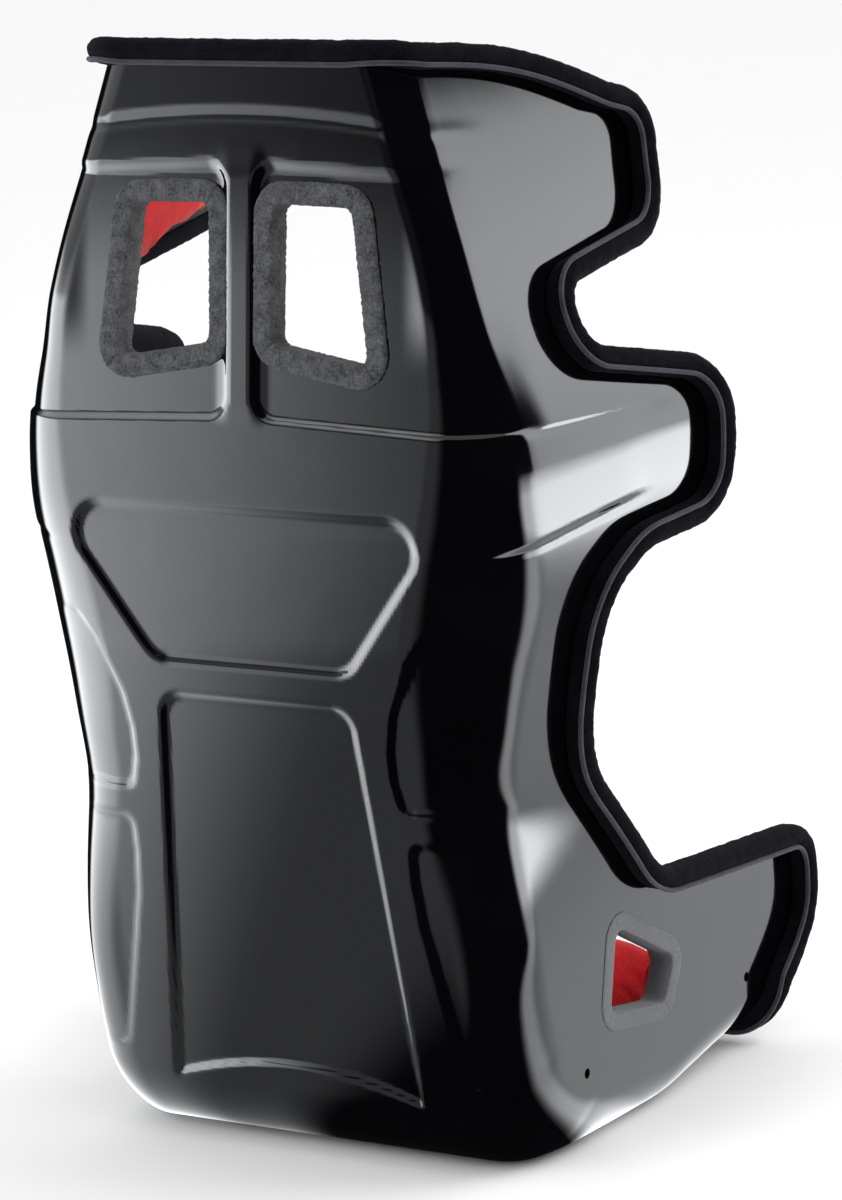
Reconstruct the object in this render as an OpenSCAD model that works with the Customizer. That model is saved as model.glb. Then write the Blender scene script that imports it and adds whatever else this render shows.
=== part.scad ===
// Racing bucket seat: one-piece moulded shell, velour edge trim, foam pads and three lift-out cushions.
// The seat stands on the flat of its pan. +Z is up, the occupant faces -Y and +X is the occupant's left.
// Shapes are worked out in (x, depth, z): depth runs forward from the plane of the back.

/* [Shell] */
// Thickness of the moulded shell
shell_t = 5; // [4:0.5:7]
// Height of the shell at the top of the back
shell_top = 947; // [940:1:955]
// Depth of the front corner of the thigh wing
thigh_reach = 512; // [505:1:518]
// Depth of the front corner of the shoulder wing
shoulder_reach = 309; // [303:1:315]
// Depth of the front corner of the head wing
head_reach = 314; // [308:1:320]
// Half width of the shell at the hips
hip_half = 228; // [224:1:232]
// Half width of the shell at the waist
waist_half = 205; // [202:1:210]
// Half width of the shell at the chest
chest_half = 244; // [240:1:248]
// Half width of the shell at the top of the back
head_half = 134; // [130:1:138]

/* [Side mounts] */
// Distance between the two threaded inserts of one side
mount_pitch = 290; // [280:1:300]
// Depth of the rear insert
mount_rear = 124; // [120:1:130]
// Height of the inserts above the floor
mount_z = 72; // [66:1:74]
// Thread diameter of the inserts
mount_thread_d = 8; // [6:1:8]
// Clearance hole through the shell at each insert
mount_hole_d = 9; // [9:0.5:10]

/* [Trim and upholstery] */
// Width of the velour band round each harness slot
slot_band = 17; // [12:1:18]
// Thickness of the lining bonded inside the shell
liner_t = 2; // [1.5:0.5:3]
// Thickness of the fixed side pads
pad_t = 24; // [18:1:28]
// Thickness of the seat cushion
seat_cushion_t = 48; // [40:1:55]
// Thickness of the back cushion
back_cushion_t = 32; // [25:1:36]

/* [Hidden] */

gap = 0.3;              // air left between neighbouring pieces
arc_steps = 3;          // segments in each rounded corner of the rim
rim_step = 45;          // longest straight stretch between two stations
flat_cells = 2;         // cells across half the back, round its corner and along the side
corner_cells = 5;
side_cells = 4;
smooth_span = 45;       // half of the length over which the half widths are smoothed
smooth_taps = 4;
front_bow = 20;         // forward bulge of the front edge of the thigh wing
top_bow = 11;           // upward bulge of the top edge of the head wing
neck_depth = 140;       // depth of the end of the neck notch
bow_length = 80;        // each bulge dies out over this length of rim

// Side profile of the back and the pan: [depth, z, radius], from the front lip to the top of the back.
spine_corners = [[435, 27, 0], [275, 0, 260], [27, 0, 68], [-9, 455, 400], [-9, 575, 300],
    [38, shell_top, 0]];

// Rim of the side in the same view: [depth, z, radius, foot]. The foot is the length along the back
// and pan, measured from the front lip, that the corner is tied to.
rim_corners = [
    [thigh_reach + 2, 150, 0, 0],           // front edge
    [thigh_reach, 178, 30, 30],             // front corner of the thigh wing
    [236, 205, 85, 420],                    // foot of the arm cut-out
    [124, 345, 140, 680],                   // back of the arm cut-out
    [124, 491, 80, 850],                    // under the shoulder wing
    [189, 533, 80, 910],
    [shoulder_reach - 4, 540, 40, 930],     // shoulder wing, lower and upper corner
    [shoulder_reach - 1, 645, 40, 1010],
    [neck_depth, 682, 39, 1056],            // neck notch
    [neck_depth, 753, 39, 1122],
    [head_reach - 2, 775, 42, 1146],        // head wing, lower and upper corner
    [head_reach + 3, 870, 34, 1260],
    [272, 883, 0, 1e4]                      // end of the top edge
];

// Half width of the side at depth 0 and how much it flares for each millimetre forward: [z, half, flare].
widths = [[-50, hip_half, 0], [185, hip_half, 0], [245, hip_half - 7, 0.035], [325, waist_half + 1, 0.11],
    [405, waist_half + 12, 0.11], [485, chest_half - 10, 0.10], [565, chest_half, 0.10],
    [625, chest_half - 3, 0.12], [665, chest_half - 10, 0.09], [715, chest_half - 25, 0.04],
    [795, head_half + 61, 0.05], [875, head_half + 29, 0.13], [945, head_half, 0.21],
    [1015, head_half - 29, 0.31]];
// Radius between the back or pan and the side: [foot, radius].
corner_radii = [[0, 28], [200, 34], [345, 45], [395, 82], [455, 58], [540, 50], [640, 56], [750, 60],
    [850, 82], [910, 78], [990, 62], [1050, 50], [1110, 38], [1210, 31], [1330, 28]];

// ---- small helpers ----
function unit(v) = v / norm(v);
function sum(list, i = 0) = i < len(list) ? list[i] + sum(list, i + 1) : 0;
function column(table, c) = [for (row = table) [row[0], row[c]]];
function smooth(key, table) =
    let (w = [for (k = [-smooth_taps : smooth_taps]) smooth_taps + 1 - abs(k)],
         v = [for (k = [-smooth_taps : smooth_taps])
              w[k + smooth_taps] * lookup(key + k * smooth_span / (smooth_taps + 1), table)])
    sum(v) / sum(w);
function xy(p) = [p[0], p[1]];

// Points of the arc of radius r that rounds corner b between a and c.
function fillet(a, b, c, r, n) =
    let (u = unit(a - b), w = unit(c - b), half = acos(u * w) / 2,
         centre = b + unit(u + w) * r / sin(half),
         from = b + u * r / tan(half) - centre, to = b + w * r / tan(half) - centre,
         a0 = atan2(from[1], from[0]), turn = atan2(to[1], to[0]) - a0,
         sweep = turn > 180 ? turn - 360 : turn < -180 ? turn + 360 : turn)
    [for (i = [0 : n]) centre + r * [cos(a0 + sweep * i / n), sin(a0 + sweep * i / n)]];

// Open path through rounded corners [a, b, radius].
function open_path(corners, n) = [for (i = [0 : len(corners) - 1])
    let (c = corners[i])
    each i == 0 || i == len(corners) - 1 ? [xy(c)]
        : fillet(xy(corners[i - 1]), xy(c), xy(corners[i + 1]), c[2], n)];
// Closed outline through corners [a, b], all rounded with r.
function closed_path(corners, r, n = 5) = [for (i = [0 : len(corners) - 1])
    let (m = len(corners))
    each fillet(corners[(i + m - 1) % m], corners[i], corners[(i + 1) % m], r, n)];
function split(path, step) = [for (i = [0 : len(path) - 1])
    let (next = path[min(i + 1, len(path) - 1)], n = max(1, ceil(norm(next - path[i]) / step)))
    each i == len(path) - 1 ? [path[i]] : [for (k = [0 : n - 1]) path[i] + (next - path[i]) * k / n]];
function lengths(path, i = 0, so_far = 0) = i == len(path) ? []
    : concat([so_far], lengths(path, i + 1, so_far + (i + 1 < len(path) ? norm(path[i + 1] - path[i]) : 0)));

// ---- the two side profiles ----
spine_path = open_path(spine_corners, 12);
spine_len = lengths(spine_path);
spine_depth = [for (i = [0 : len(spine_path) - 1]) [spine_len[i], spine_path[i][0]]];
spine_z = [for (i = [0 : len(spine_path) - 1]) [spine_len[i], spine_path[i][1]]];
spine_end = spine_len[len(spine_len) - 1];
function spine(s) = [lookup(s, spine_depth), lookup(s, spine_z)];
function spine_inward(s) = let (t = unit(spine(s + 8) - spine(s - 8))) [t[1], -t[0]];

rim_arcs = open_path(rim_corners, arc_steps);
rim_arc_len = lengths(rim_arcs);
last_corner = len(rim_corners) - 1;
// Rim length at the middle of each corner.
corner_len = [for (i = [0 : last_corner])
    let (first = 1 + (i - 1) * (arc_steps + 1))
    i == 0 ? 0 : i == last_corner ? rim_arc_len[len(rim_arc_len) - 1]
        : (rim_arc_len[first] + rim_arc_len[first + arc_steps]) / 2];
foot_table = [for (i = [0 : last_corner]) [corner_len[i], min(rim_corners[i][3], spine_end)]];
corner_table = [for (i = [0 : last_corner]) [i, corner_len[i]]];
rim_path = split(rim_arcs, rim_step);
rim_len = lengths(rim_path);
v_end = rim_len[len(rim_len) - 1];
rim_depth = [for (i = [0 : len(rim_path) - 1]) [rim_len[i], rim_path[i][0]]];
rim_z = [for (i = [0 : len(rim_path) - 1]) [rim_len[i], rim_path[i][1]]];

// ---- the outside of the shell ----
function half_width(q) = smooth(q[1], column(widths, 1)) + smooth(q[1], column(widths, 2)) * q[0];

// Point at rim length v and u from 0, the centre line, to 1, the rim; u below 0 is the other side.
flat_u = flat_cells / (flat_cells + corner_cells + side_cells);
corner_u = (flat_cells + corner_cells) / (flat_cells + corner_cells + side_cells);
function outer_point(v, u) =
    let (s = lookup(v, foot_table), p = spine(s), e = [lookup(v, rim_depth), lookup(v, rim_z)],
         dir = unit(e - p), reach = norm(e - p), r = lookup(s, corner_radii),
         lean = dir * spine_inward(s), a = abs(u),
         turn = 90 * min(1, max(0, (a - flat_u) / (corner_u - flat_u))),
         f = max(0, (a - corner_u) / (1 - corner_u)),
         along = r * (1 - cos(turn)) / lean,
         bow = [front_bow * max(0, 1 - v / bow_length), top_bow * max(0, 1 - (v_end - v) / bow_length)],
         q = p + dir * (along + f * (reach - along)) + bow * sin(180 * f),
         w = half_width(q), x = a < flat_u ? (w - r) * a / flat_u : w - r * (1 - sin(turn)))
    [u < 0 ? -x : x, q[0], q[1]];
// Outward normal. Within a few millimetres of the rim it is taken just inside, where it is steady.
normal_margin = 6;
function outer_normal(v, u) =
    let (dv = 3, du = 0.02, vn = min(v_end - normal_margin, max(normal_margin, v)),
         un = min(0.95, max(-0.95, u)))
    unit(cross(outer_point(vn, un + du) - outer_point(vn, un - du),
        outer_point(vn + dv, un) - outer_point(vn - dv, un)));
// The same point moved outward by d: negative values lie inside the seat.
function moved_point(v, u, d) = outer_point(v, u) + outer_normal(v, u) * d;

u_cells = flat_cells + corner_cells + side_cells;
u_values = [for (i = [-u_cells : u_cells]) i / u_cells];

// ---- solids from point grids ----
function quad(a, b, c, d) = [[a, b, c], [a, c, d]];
// Closed solid between two grids of rows x cols points, the outer one first.
function slab_faces(rows, cols) =
    let (n = rows * cols) concat(
    [for (i = [0 : rows - 2], j = [0 : cols - 2])
        let (a = i * cols + j, b = a + 1, c = a + cols + 1, d = a + cols) each quad(a, b, c, d)],
    [for (i = [0 : rows - 2], j = [0 : cols - 2])
        let (a = n + i * cols + j, b = a + 1, c = a + cols + 1, d = a + cols) each quad(d, c, b, a)],
    [for (j = [0 : cols - 2]) let (k = (rows - 1) * cols + j)
        each concat(quad(j, n + j, n + j + 1, j + 1), quad(k + 1, n + k + 1, n + k, k))],
    [for (i = [0 : rows - 2]) let (a = i * cols, b = a + cols, c = a + cols - 1, d = b + cols - 1)
        each concat(quad(b, n + b, n + a, a), quad(c, n + c, n + d, d))]);
module slab(outer, inner) {
    rows = len(outer);
    points = concat([for (row = outer) each row], [for (row = inner) each row]);
    polyhedron(points = [for (p = points) place(p)], faces = slab_faces(rows, len(outer[0])));
}
// Closed ring swept from a list of equal sections.
module ring(sections) {
    n = len(sections);
    m = len(sections[0]);
    polyhedron(points = [for (s = sections, p = s) place(p)], faces = [for (i = [0 : n - 1], j = [0 : m - 1])
        let (i2 = (i + 1) % n, j2 = (j + 1) % m)
        each quad(i * m + j, i * m + j2, i2 * m + j2, i2 * m + j)]);
}

// ---- the rim as one closed loop: [point, outward normal, direction away from the shell] ----
half_loop = concat([for (i = [0 : u_cells - 1]) [0, i / u_cells]], [for (v = rim_len) [v, 1]],
    [for (i = [u_cells - 1 : -1 : 0]) [v_end, i / u_cells]]);
rim_places = concat(half_loop, [for (i = [len(half_loop) - 2 : -1 : 1]) [half_loop[i][0], -half_loop[i][1]]]);
rim_points = [for (p = rim_places) outer_point(p[0], p[1])];
rim_loop = [for (i = [0 : len(rim_places) - 1])
    let (m = len(rim_places), along = unit(rim_points[(i + 1) % m] - rim_points[(i + m - 1) % m]),
         n = outer_normal(rim_places[i][0], rim_places[i][1]), away = unit(cross(along, n)))
    [rim_points[i], unit(cross(away, along)), away]];
function loop_sections(profile) = [for (f = rim_loop) [for (q = profile) f[0] + f[1] * q[0] + f[2] * q[1]]];

// Edge trim in section: [outward, away from the shell]. It grips the raw edge of the shell.
grip = gap + 0.3;       // play between the raw edge and the groove that takes it
trim_profile = [[grip, -5], [11, -5], [18, 0], [20, 7], [13, 15], [-2, 14], [-10, 6], [-10, -9],
    [-shell_t - grip, -9], [-shell_t - grip, grip], [grip, grip]];
welt_r = 2.2;
welt_centre = [16.2, -4.9];
welt_profile = [for (i = [0 : 4]) welt_centre + welt_r * [cos(72 * i), sin(72 * i)]];
trim_sections = loop_sections(trim_profile);

// The origin is under the middle of the seat's depth.
front_depth = max([for (s = trim_sections, p = s) p[1]]);
rear_depth = min([for (p = spine_path) p[0]]);
middle = (front_depth + rear_depth) / 2;
function place(p) = [p[0], middle - p[1], p[2]];

// ---- frames for flat features ----
// The upper back is a flat plane that leans forward.
upper_low = [spine_corners[4][0], spine_corners[4][1]];
upper_high = [spine_corners[5][0], spine_corners[5][1]];
upper_lean = atan2(upper_high[0] - upper_low[0], upper_high[1] - upper_low[1]);
// Draws its children, a 2D outline in (x, z) extruded along +Z, from depth `from` on the upper back.
module on_upper_back(from) {
    translate([0, middle - upper_low[0], upper_low[1]]) rotate([upper_lean, 0, 0])
        translate([0, -from, -upper_low[1]]) rotate([90, 0, 0]) children();
}
// Same for the outer face of the side wall on the +X side, with the outline in (depth, z).
module on_side(from) {
    translate([from, middle, 0]) rotate([90, 0, -90]) children();
}
module both_sides() {
    children();
    mirror([1, 0, 0]) children();
}
module band_outline(corners, r, out) {
    difference() {
        polygon(closed_path(grown(corners, out), r + out));
        polygon(closed_path(corners, r));
    }
}
// Corners of a counter-clockwise outline moved outward by d along both of their edges.
function grown(corners, d) = [for (i = [0 : len(corners) - 1])
    let (m = len(corners), b = corners[i], u = unit(corners[(i + m - 1) % m] - b),
         w = unit(corners[(i + 1) % m] - b), half = acos(u * w) / 2)
    b - unit(u + w) * d / sin(half)];

// ---- openings: corners counter-clockwise, and their radii ----
harness_slot = [[31, 715], [125, 699], [108, 829], [32, 831]];
harness_r = 9;
lap_slot = [[168, 111], [262, 94], [284, 130], [185, 185]];
lap_r = 11;
crotch_half = 32;
crotch_rear = 222;
crotch_front = 246;
crotch_r = 8;
sleeve_t = 2;           // wall of the trim sleeve that lines a slot
sleeve_cut = sleeve_t + gap; // how much larger than its slot the hole in the shell is
sleeve_depth = 22;      // how far the sleeve reaches into the seat
band_t = 4;             // how far a slot band stands off the shell
cut_room = 60;          // spare length of a cutter on each side of the wall

module harness_cut(extra) {
    both_sides() on_upper_back(-cut_room) linear_extrude(2 * cut_room)
        polygon(closed_path(grown(harness_slot, extra), harness_r + extra));
}
module lap_cut(extra) {
    both_sides() on_side(hip_half + cut_room) linear_extrude(2 * cut_room)
        polygon(closed_path(grown(lap_slot, extra), lap_r + extra));
}
module crotch_outline(out) {
    x = crotch_half + out;
    rear = middle - crotch_rear + out;
    front = middle - crotch_front - out;
    polygon(closed_path([[-x, front], [x, front], [x, rear], [-x, rear]], crotch_r + out));
}
module crotch_cut(extra) {
    translate([0, 0, -cut_room]) linear_extrude(2 * cut_room) crotch_outline(extra);
}
mounts = [mount_rear, mount_rear + mount_pitch];
module at_mounts() {
    both_sides() for (depth = mounts) translate([hip_half, middle - depth, mount_z])
        rotate([0, -90, 0]) children();
}

// ---- shell and its trims ----
module shell() color([0.03, 0.03, 0.035]) {
    outer = [for (v = rim_len) [for (u = u_values) outer_point(v, u)]];
    inner = [for (v = rim_len) [for (u = u_values) moved_point(v, u, -shell_t)]];
    difference() {
        slab(outer, inner);
        harness_cut(sleeve_cut);
        lap_cut(sleeve_cut);
        crotch_cut(sleeve_cut);
        at_mounts() translate([0, 0, -shell_t]) cylinder(d = mount_hole_d, h = 3 * shell_t, $fn = 48);
    }
}
module edge_trim() color([0.06, 0.055, 0.07]) ring(trim_sections);
module edge_welt() color([0.1, 0.1, 0.11]) ring(loop_sections(welt_profile));

module harness_slot_trim() {
    on_upper_back(-gap - band_t) linear_extrude(band_t)
        band_outline(harness_slot, harness_r, sleeve_t + slot_band);
    on_upper_back(-gap - 1) linear_extrude(sleeve_depth + 1)
        band_outline(harness_slot, harness_r, sleeve_t);
}
module harness_slot_trim_left() color([0.2, 0.2, 0.21]) harness_slot_trim();
module harness_slot_trim_right() color([0.2, 0.2, 0.21]) mirror([1, 0, 0]) harness_slot_trim();

lap_band = 14;
lap_band_t = 3;
module lap_slot_trim() {
    on_side(hip_half + gap + lap_band_t) linear_extrude(lap_band_t)
        band_outline(lap_slot, lap_r, sleeve_t + lap_band);
    on_side(hip_half + gap + 1) linear_extrude(sleeve_depth + 1)
        band_outline(lap_slot, lap_r, sleeve_t);
}
module lap_slot_trim_left() color([0.4, 0.4, 0.42]) lap_slot_trim();
module lap_slot_trim_right() color([0.4, 0.4, 0.42]) mirror([1, 0, 0]) lap_slot_trim();

crotch_flange = 9;
crotch_flange_t = 2;
module crotch_slot_trim() color([0.08, 0.08, 0.09]) {
    top = shell_t + glue_t + liner_t + gap;
    difference() {
        union() {
            translate([0, 0, top]) linear_extrude(crotch_flange_t) crotch_outline(crotch_flange);
            translate([0, 0, 1]) linear_extrude(top) crotch_outline(sleeve_t);
        }
        linear_extrude(4 * top, center = true) crotch_outline(0);
    }
}

// ---- side mounts ----
plate_t = 3;
plate_low = 60;
plate_high = 86;
plate_over = 18;        // how far a plate runs past the centres of its inserts
plate_face = shell_t + gap;
insert_body_r = 6.5;
insert_len = 9;
insert_flange_r = 11;
insert_flange_t = 2;
module plate_outline(extra) {
    translate([middle - mounts[1] - plate_over - extra, plate_low - extra])
        square([mount_pitch + 2 * (plate_over + extra), plate_high - plate_low + 2 * extra]);
}
module plate_block(extra, t) {
    translate([hip_half - plate_face - t, 0, 0]) rotate([90, 0, 90]) linear_extrude(t) plate_outline(extra);
}
module mount_plate() difference() {
    plate_block(0, plate_t);
    at_mounts() cylinder(r = insert_body_r + gap, h = cut_room, $fn = 48);
}
module mount_plate_left() color([0.6, 0.6, 0.62]) mount_plate();
module mount_plate_right() color([0.6, 0.6, 0.62]) mirror([1, 0, 0]) mount_plate();
// Four threaded inserts. Each passes through its plate from inboard, so its flange pulls on the plate.
module mount_inserts() color([0.75, 0.75, 0.78]) at_mounts() {
    difference() {
        union() {
            translate([0, 0, plate_face]) cylinder(r = insert_body_r, h = insert_len, $fn = 48);
            translate([0, 0, plate_face + plate_t + gap])
                cylinder(r = insert_flange_r, h = insert_flange_t, $fn = 48);
        }
        translate([0, 0, plate_face - 1]) cylinder(d = mount_thread_d, h = insert_len + 2, $fn = 48);
    }
}
module mount_pocket() {
    both_sides() plate_block(1, plate_t + 2);
    at_mounts() cylinder(r = insert_flange_r + 1, h = plate_face + insert_len + 1, $fn = 24);
}

// ---- lining and fixed pads ----
// The lining stops short of the rim, where the edge trim takes over.
rim_margin = 12;
glue_t = 1.1;           // adhesive between the shell and its lining
liner_end = 15;
liner_v = [for (v = rim_len) if (v > liner_end && v < v_end - liner_end) v];
inset_rim = [for (v = rim_len)
    let (a = max(0, v - 1), b = min(v_end, v + 1),
         t = unit([lookup(b, rim_depth) - lookup(a, rim_depth), lookup(b, rim_z) - lookup(a, rim_z)]))
    [lookup(v, rim_depth), lookup(v, rim_z)] + rim_margin * [-t[1], t[0]]];
lining_top = shell_top - rim_margin;
// Keeps what lies more than the margin inside the rim of the side.
module inside_rim() {
    far = 2 * shell_top;
    intersection() {
        children();
        translate([far / 2, middle, 0]) rotate([90, 0, -90]) linear_extrude(far)
            polygon(concat(inset_rim, [[spine_corners[5][0], lining_top], [-far, lining_top],
                [-far, -far], [far, -far], [far, inset_rim[0][1]]]));
    }
}
module inner_liner() color([0.1, 0.1, 0.11]) {
    near = shell_t + glue_t;
    difference() {
        inside_rim() slab([for (v = liner_v) [for (u = u_values) moved_point(v, u, -near)]],
            [for (v = liner_v) [for (u = u_values) moved_point(v, u, -near - liner_t)]]);
        harness_cut(sleeve_cut);
        lap_cut(sleeve_cut);
        crotch_cut(sleeve_cut);
        mount_pocket();
    }
}

// Pad that lies on the lining between two rim corners and two values of u. Its edge is thinner than
// its middle. A strip has edge = 1 and so the same thickness all over.
lining_face = shell_t + glue_t + liner_t + 1.2;
function crown(a) = 1 - pow(abs(2 * a - 1), 4);
module pad(v0, v1, u0, u1, t, rows, cols, edge = 0.4) {
    from = lookup(v0, corner_table);
    to = lookup(v1, corner_table);
    grid = [for (i = [0 : rows]) [for (j = [0 : cols]) [i / rows, j / cols]]];
    function at(g, d) = moved_point(from + (to - from) * g[0], u0 + (u1 - u0) * g[1], -lining_face - d);
    slab([for (row = grid) [for (g = row) at(g, 0)]],
        [for (row = grid) [for (g = row) at(g, t * (edge + (1 - edge) * crown(g[0]) * crown(g[1])))]]);
}
red = [0.8, 0.1, 0.12];
dark = [0.1, 0.1, 0.11];
module head_pad() color(dark) difference() {
    pad(8.1, 11.7, -0.17, 0.17, 20, 10, 8);
    harness_cut(sleeve_cut + 1);
}
module head_wing_pad() inside_rim() pad(9.6, 11.35, 0.5, 0.94, pad_t, 7, 5);
module head_wing_pad_left() color(red) head_wing_pad();
module head_wing_pad_right() color(red) mirror([1, 0, 0]) head_wing_pad();
module shoulder_pad() inside_rim() pad(5.15, 7.8, 0.64, 0.94, pad_t, 8, 4);
module shoulder_pad_left() color(red) shoulder_pad();
module shoulder_pad_right() color(red) mirror([1, 0, 0]) shoulder_pad();
module waist_pad() inside_rim() pad(2.6, 4.9, 0.55, 0.92, pad_t, 8, 4);
module waist_pad_left() color(red) waist_pad();
module waist_pad_right() color(red) mirror([1, 0, 0]) waist_pad();
module thigh_pad() difference() {
    inside_rim() pad(1.15, 2.2, 0.68, 0.94, pad_t, 8, 4);
    lap_cut(sleeve_cut + 1);
    mount_pocket();
}
module thigh_pad_left() color(red) thigh_pad();
module thigh_pad_right() color(red) mirror([1, 0, 0]) thigh_pad();

// ---- lift-out cushions and their hook strips ----
strip_t = 1.5;
strip_u = [0.05, 0.075];
module strips(v0, v1, rows) both_sides() pad(v0, v1, strip_u[0], strip_u[1], strip_t, rows, 1, edge = 1);
module hook_strips_back() color(dark) strips(2.45, 6.6, 16);
module hook_strips_seat() color(dark) strips(1.42, 1.7, 3);
module hook_strips_leg() color(dark) strips(1.0, 1.17, 2);

cushion_face = strip_t + gap + 0.4;
// Cushion over the strips: depth from d0 to d1, half width x, base height z0 at d0 and z1 at d1,
// and the thickness there. The rear edge can lift to follow the hip bend.
cushion_cells = 9;
module cushion(x, d0, d1, z0, z1, t0, t1, lift = 0) {
    steps = [for (i = [0 : cushion_cells]) i / cushion_cells];
    function base(a) = z0 + (z1 - z0) * a + lift * pow(max(0, 1 - 4 * a), 2);
    function rise(a, b) = (t0 + (t1 - t0) * a) * (0.55 + 0.45 * crown(a) * crown(b));
    slab([for (a = steps) [for (b = steps) [x * (1 - 2 * b), d0 + (d1 - d0) * a, base(a)]]],
        [for (a = steps) [for (b = steps) [x * (1 - 2 * b), d0 + (d1 - d0) * a, base(a) + rise(a, b)]]]);
}
module seat_cushion() color(dark)
    cushion(160, 80, crotch_rear - crotch_flange - 4, lining_face + cushion_face, lining_face + cushion_face,
        seat_cushion_t, seat_cushion_t, lift = 10);
module leg_cushion() color(red)
    cushion(160, crotch_front + crotch_flange + 4, 421, lining_face + cushion_face + 1, 37,
        seat_cushion_t + 4, 88);
module back_cushion() color(dark)
    translate([0, -lining_face - cushion_face, 0]) back_block();
module back_block() {
    from = lookup(2.3, corner_table);
    to = lookup(6.9, corner_table);
    rows = 14;
    cols = 8;
    half = 0.165;
    function at(i, j, d) = moved_point(from + (to - from) * i / rows, half * (2 * j / cols - 1), -d);
    slab([for (i = [0 : rows]) [for (j = [0 : cols]) at(i, j, 0)]],
        [for (i = [0 : rows]) [for (j = [0 : cols])
            at(i, j, back_cushion_t * (0.5 + 0.5 * crown(i / rows) * crown(j / cols)))]]);
}

shell();
edge_trim();
edge_welt();
harness_slot_trim_left();
harness_slot_trim_right();
lap_slot_trim_left();
lap_slot_trim_right();
crotch_slot_trim();
mount_plate_left();
mount_plate_right();
mount_inserts();
inner_liner();
head_pad();
head_wing_pad_left();
head_wing_pad_right();
shoulder_pad_left();
shoulder_pad_right();
waist_pad_left();
waist_pad_right();
thigh_pad_left();
thigh_pad_right();
back_cushion();
seat_cushion();
leg_cushion();
hook_strips_back();
hook_strips_seat();
hook_strips_leg();
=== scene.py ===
import math
import bmesh
import bpy
import numpy as np
from mathutils import Matrix, Vector


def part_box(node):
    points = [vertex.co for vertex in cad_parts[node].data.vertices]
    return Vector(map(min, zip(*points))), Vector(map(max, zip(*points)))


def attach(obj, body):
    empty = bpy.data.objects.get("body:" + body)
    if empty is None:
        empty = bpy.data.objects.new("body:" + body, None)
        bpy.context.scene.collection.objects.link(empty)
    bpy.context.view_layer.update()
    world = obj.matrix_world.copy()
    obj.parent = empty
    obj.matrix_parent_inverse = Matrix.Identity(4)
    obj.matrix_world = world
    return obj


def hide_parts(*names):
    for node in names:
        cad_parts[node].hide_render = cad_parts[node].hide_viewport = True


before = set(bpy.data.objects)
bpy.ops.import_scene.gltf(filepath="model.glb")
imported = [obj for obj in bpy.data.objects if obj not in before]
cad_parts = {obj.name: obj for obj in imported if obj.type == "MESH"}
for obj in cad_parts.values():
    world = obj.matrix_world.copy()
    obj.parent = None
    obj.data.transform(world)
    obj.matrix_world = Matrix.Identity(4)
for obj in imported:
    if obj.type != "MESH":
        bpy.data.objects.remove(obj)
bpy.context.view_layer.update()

MM = 0.001
rng = np.random.default_rng(7)


# ---------------------------------------------------------------- tables and curves
def unit(v):
    v = np.asarray(v, float)
    return v / np.linalg.norm(v, axis=-1, keepdims=True)


def ramp(a, b, t):
    """0 below a, 1 above b and smooth between."""
    t = np.clip((np.asarray(t, float) - a) / (b - a), 0, 1)
    return t * t * (3 - 2 * t)


def lookup(key, table):
    table = np.asarray(table, float)
    return np.interp(key, table[:, 0], table[:, 1])


def line_on(key, table):
    """Lookup that runs on in a straight line past both ends of the table."""
    t = np.asarray(table, float)
    low = t[0, 1] + (key - t[0, 0]) * (t[1, 1] - t[0, 1]) / (t[1, 0] - t[0, 0])
    high = t[-1, 1] + (key - t[-1, 0]) * (t[-1, 1] - t[-2, 1]) / (t[-1, 0] - t[-2, 0])
    return np.where(key < t[0, 0], low, np.where(key > t[-1, 0], high, lookup(key, t)))


def smooth(key, table, span, taps=16, read=lookup):
    k = np.arange(-taps, taps + 1)
    w = taps + 1 - np.abs(k)
    return sum(wi * read(key + ki * span / (taps + 1), table) for ki, wi in zip(k, w)) / w.sum()


def fillet(a, b, c, r, n):
    a, b, c = (np.asarray(p, float) for p in (a, b, c))
    u, w = unit(a - b), unit(c - b)
    half = math.acos(float(u @ w)) / 2
    centre = b + unit(u + w) * r / math.sin(half)
    start, end = b + u * r / math.tan(half) - centre, b + w * r / math.tan(half) - centre
    a0 = math.atan2(start[1], start[0])
    sweep = (math.atan2(end[1], end[0]) - a0 + math.pi) % (2 * math.pi) - math.pi
    return [centre + r * np.array([math.cos(a0 + sweep * i / n), math.sin(a0 + sweep * i / n)])
            for i in range(n + 1)]


def open_path(corners, n):
    """Rounded path and, for each corner, the index of its middle point."""
    pts, mids = [np.array(corners[0][:2], float)], [0]
    for i in range(1, len(corners) - 1):
        arc = fillet(corners[i - 1][:2], corners[i][:2], corners[i + 1][:2], corners[i][2], n)
        mids.append(len(pts) + n // 2)
        pts += arc
    pts.append(np.array(corners[-1][:2], float))
    mids.append(len(pts) - 1)
    return np.array(pts), mids


def lengths(path):
    return np.concatenate([[0], np.cumsum(np.linalg.norm(np.diff(path, axis=0), axis=1))])


def grown(corners, d):
    """Counter-clockwise outline moved outward by d."""
    c, out = np.asarray(corners, float), []
    for i in range(len(c)):
        u, w = unit(c[i - 1] - c[i]), unit(c[(i + 1) % len(c)] - c[i])
        out.append(c[i] - unit(u + w) * d / math.sin(math.acos(float(u @ w)) / 2))
    return out


def closed_path(corners, r, n=8):
    c = [np.asarray(p, float) for p in corners]
    return np.array([p for i in range(len(c)) for p in fillet(c[i - 1], c[i], c[(i + 1) % len(c)], r, n)])


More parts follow.
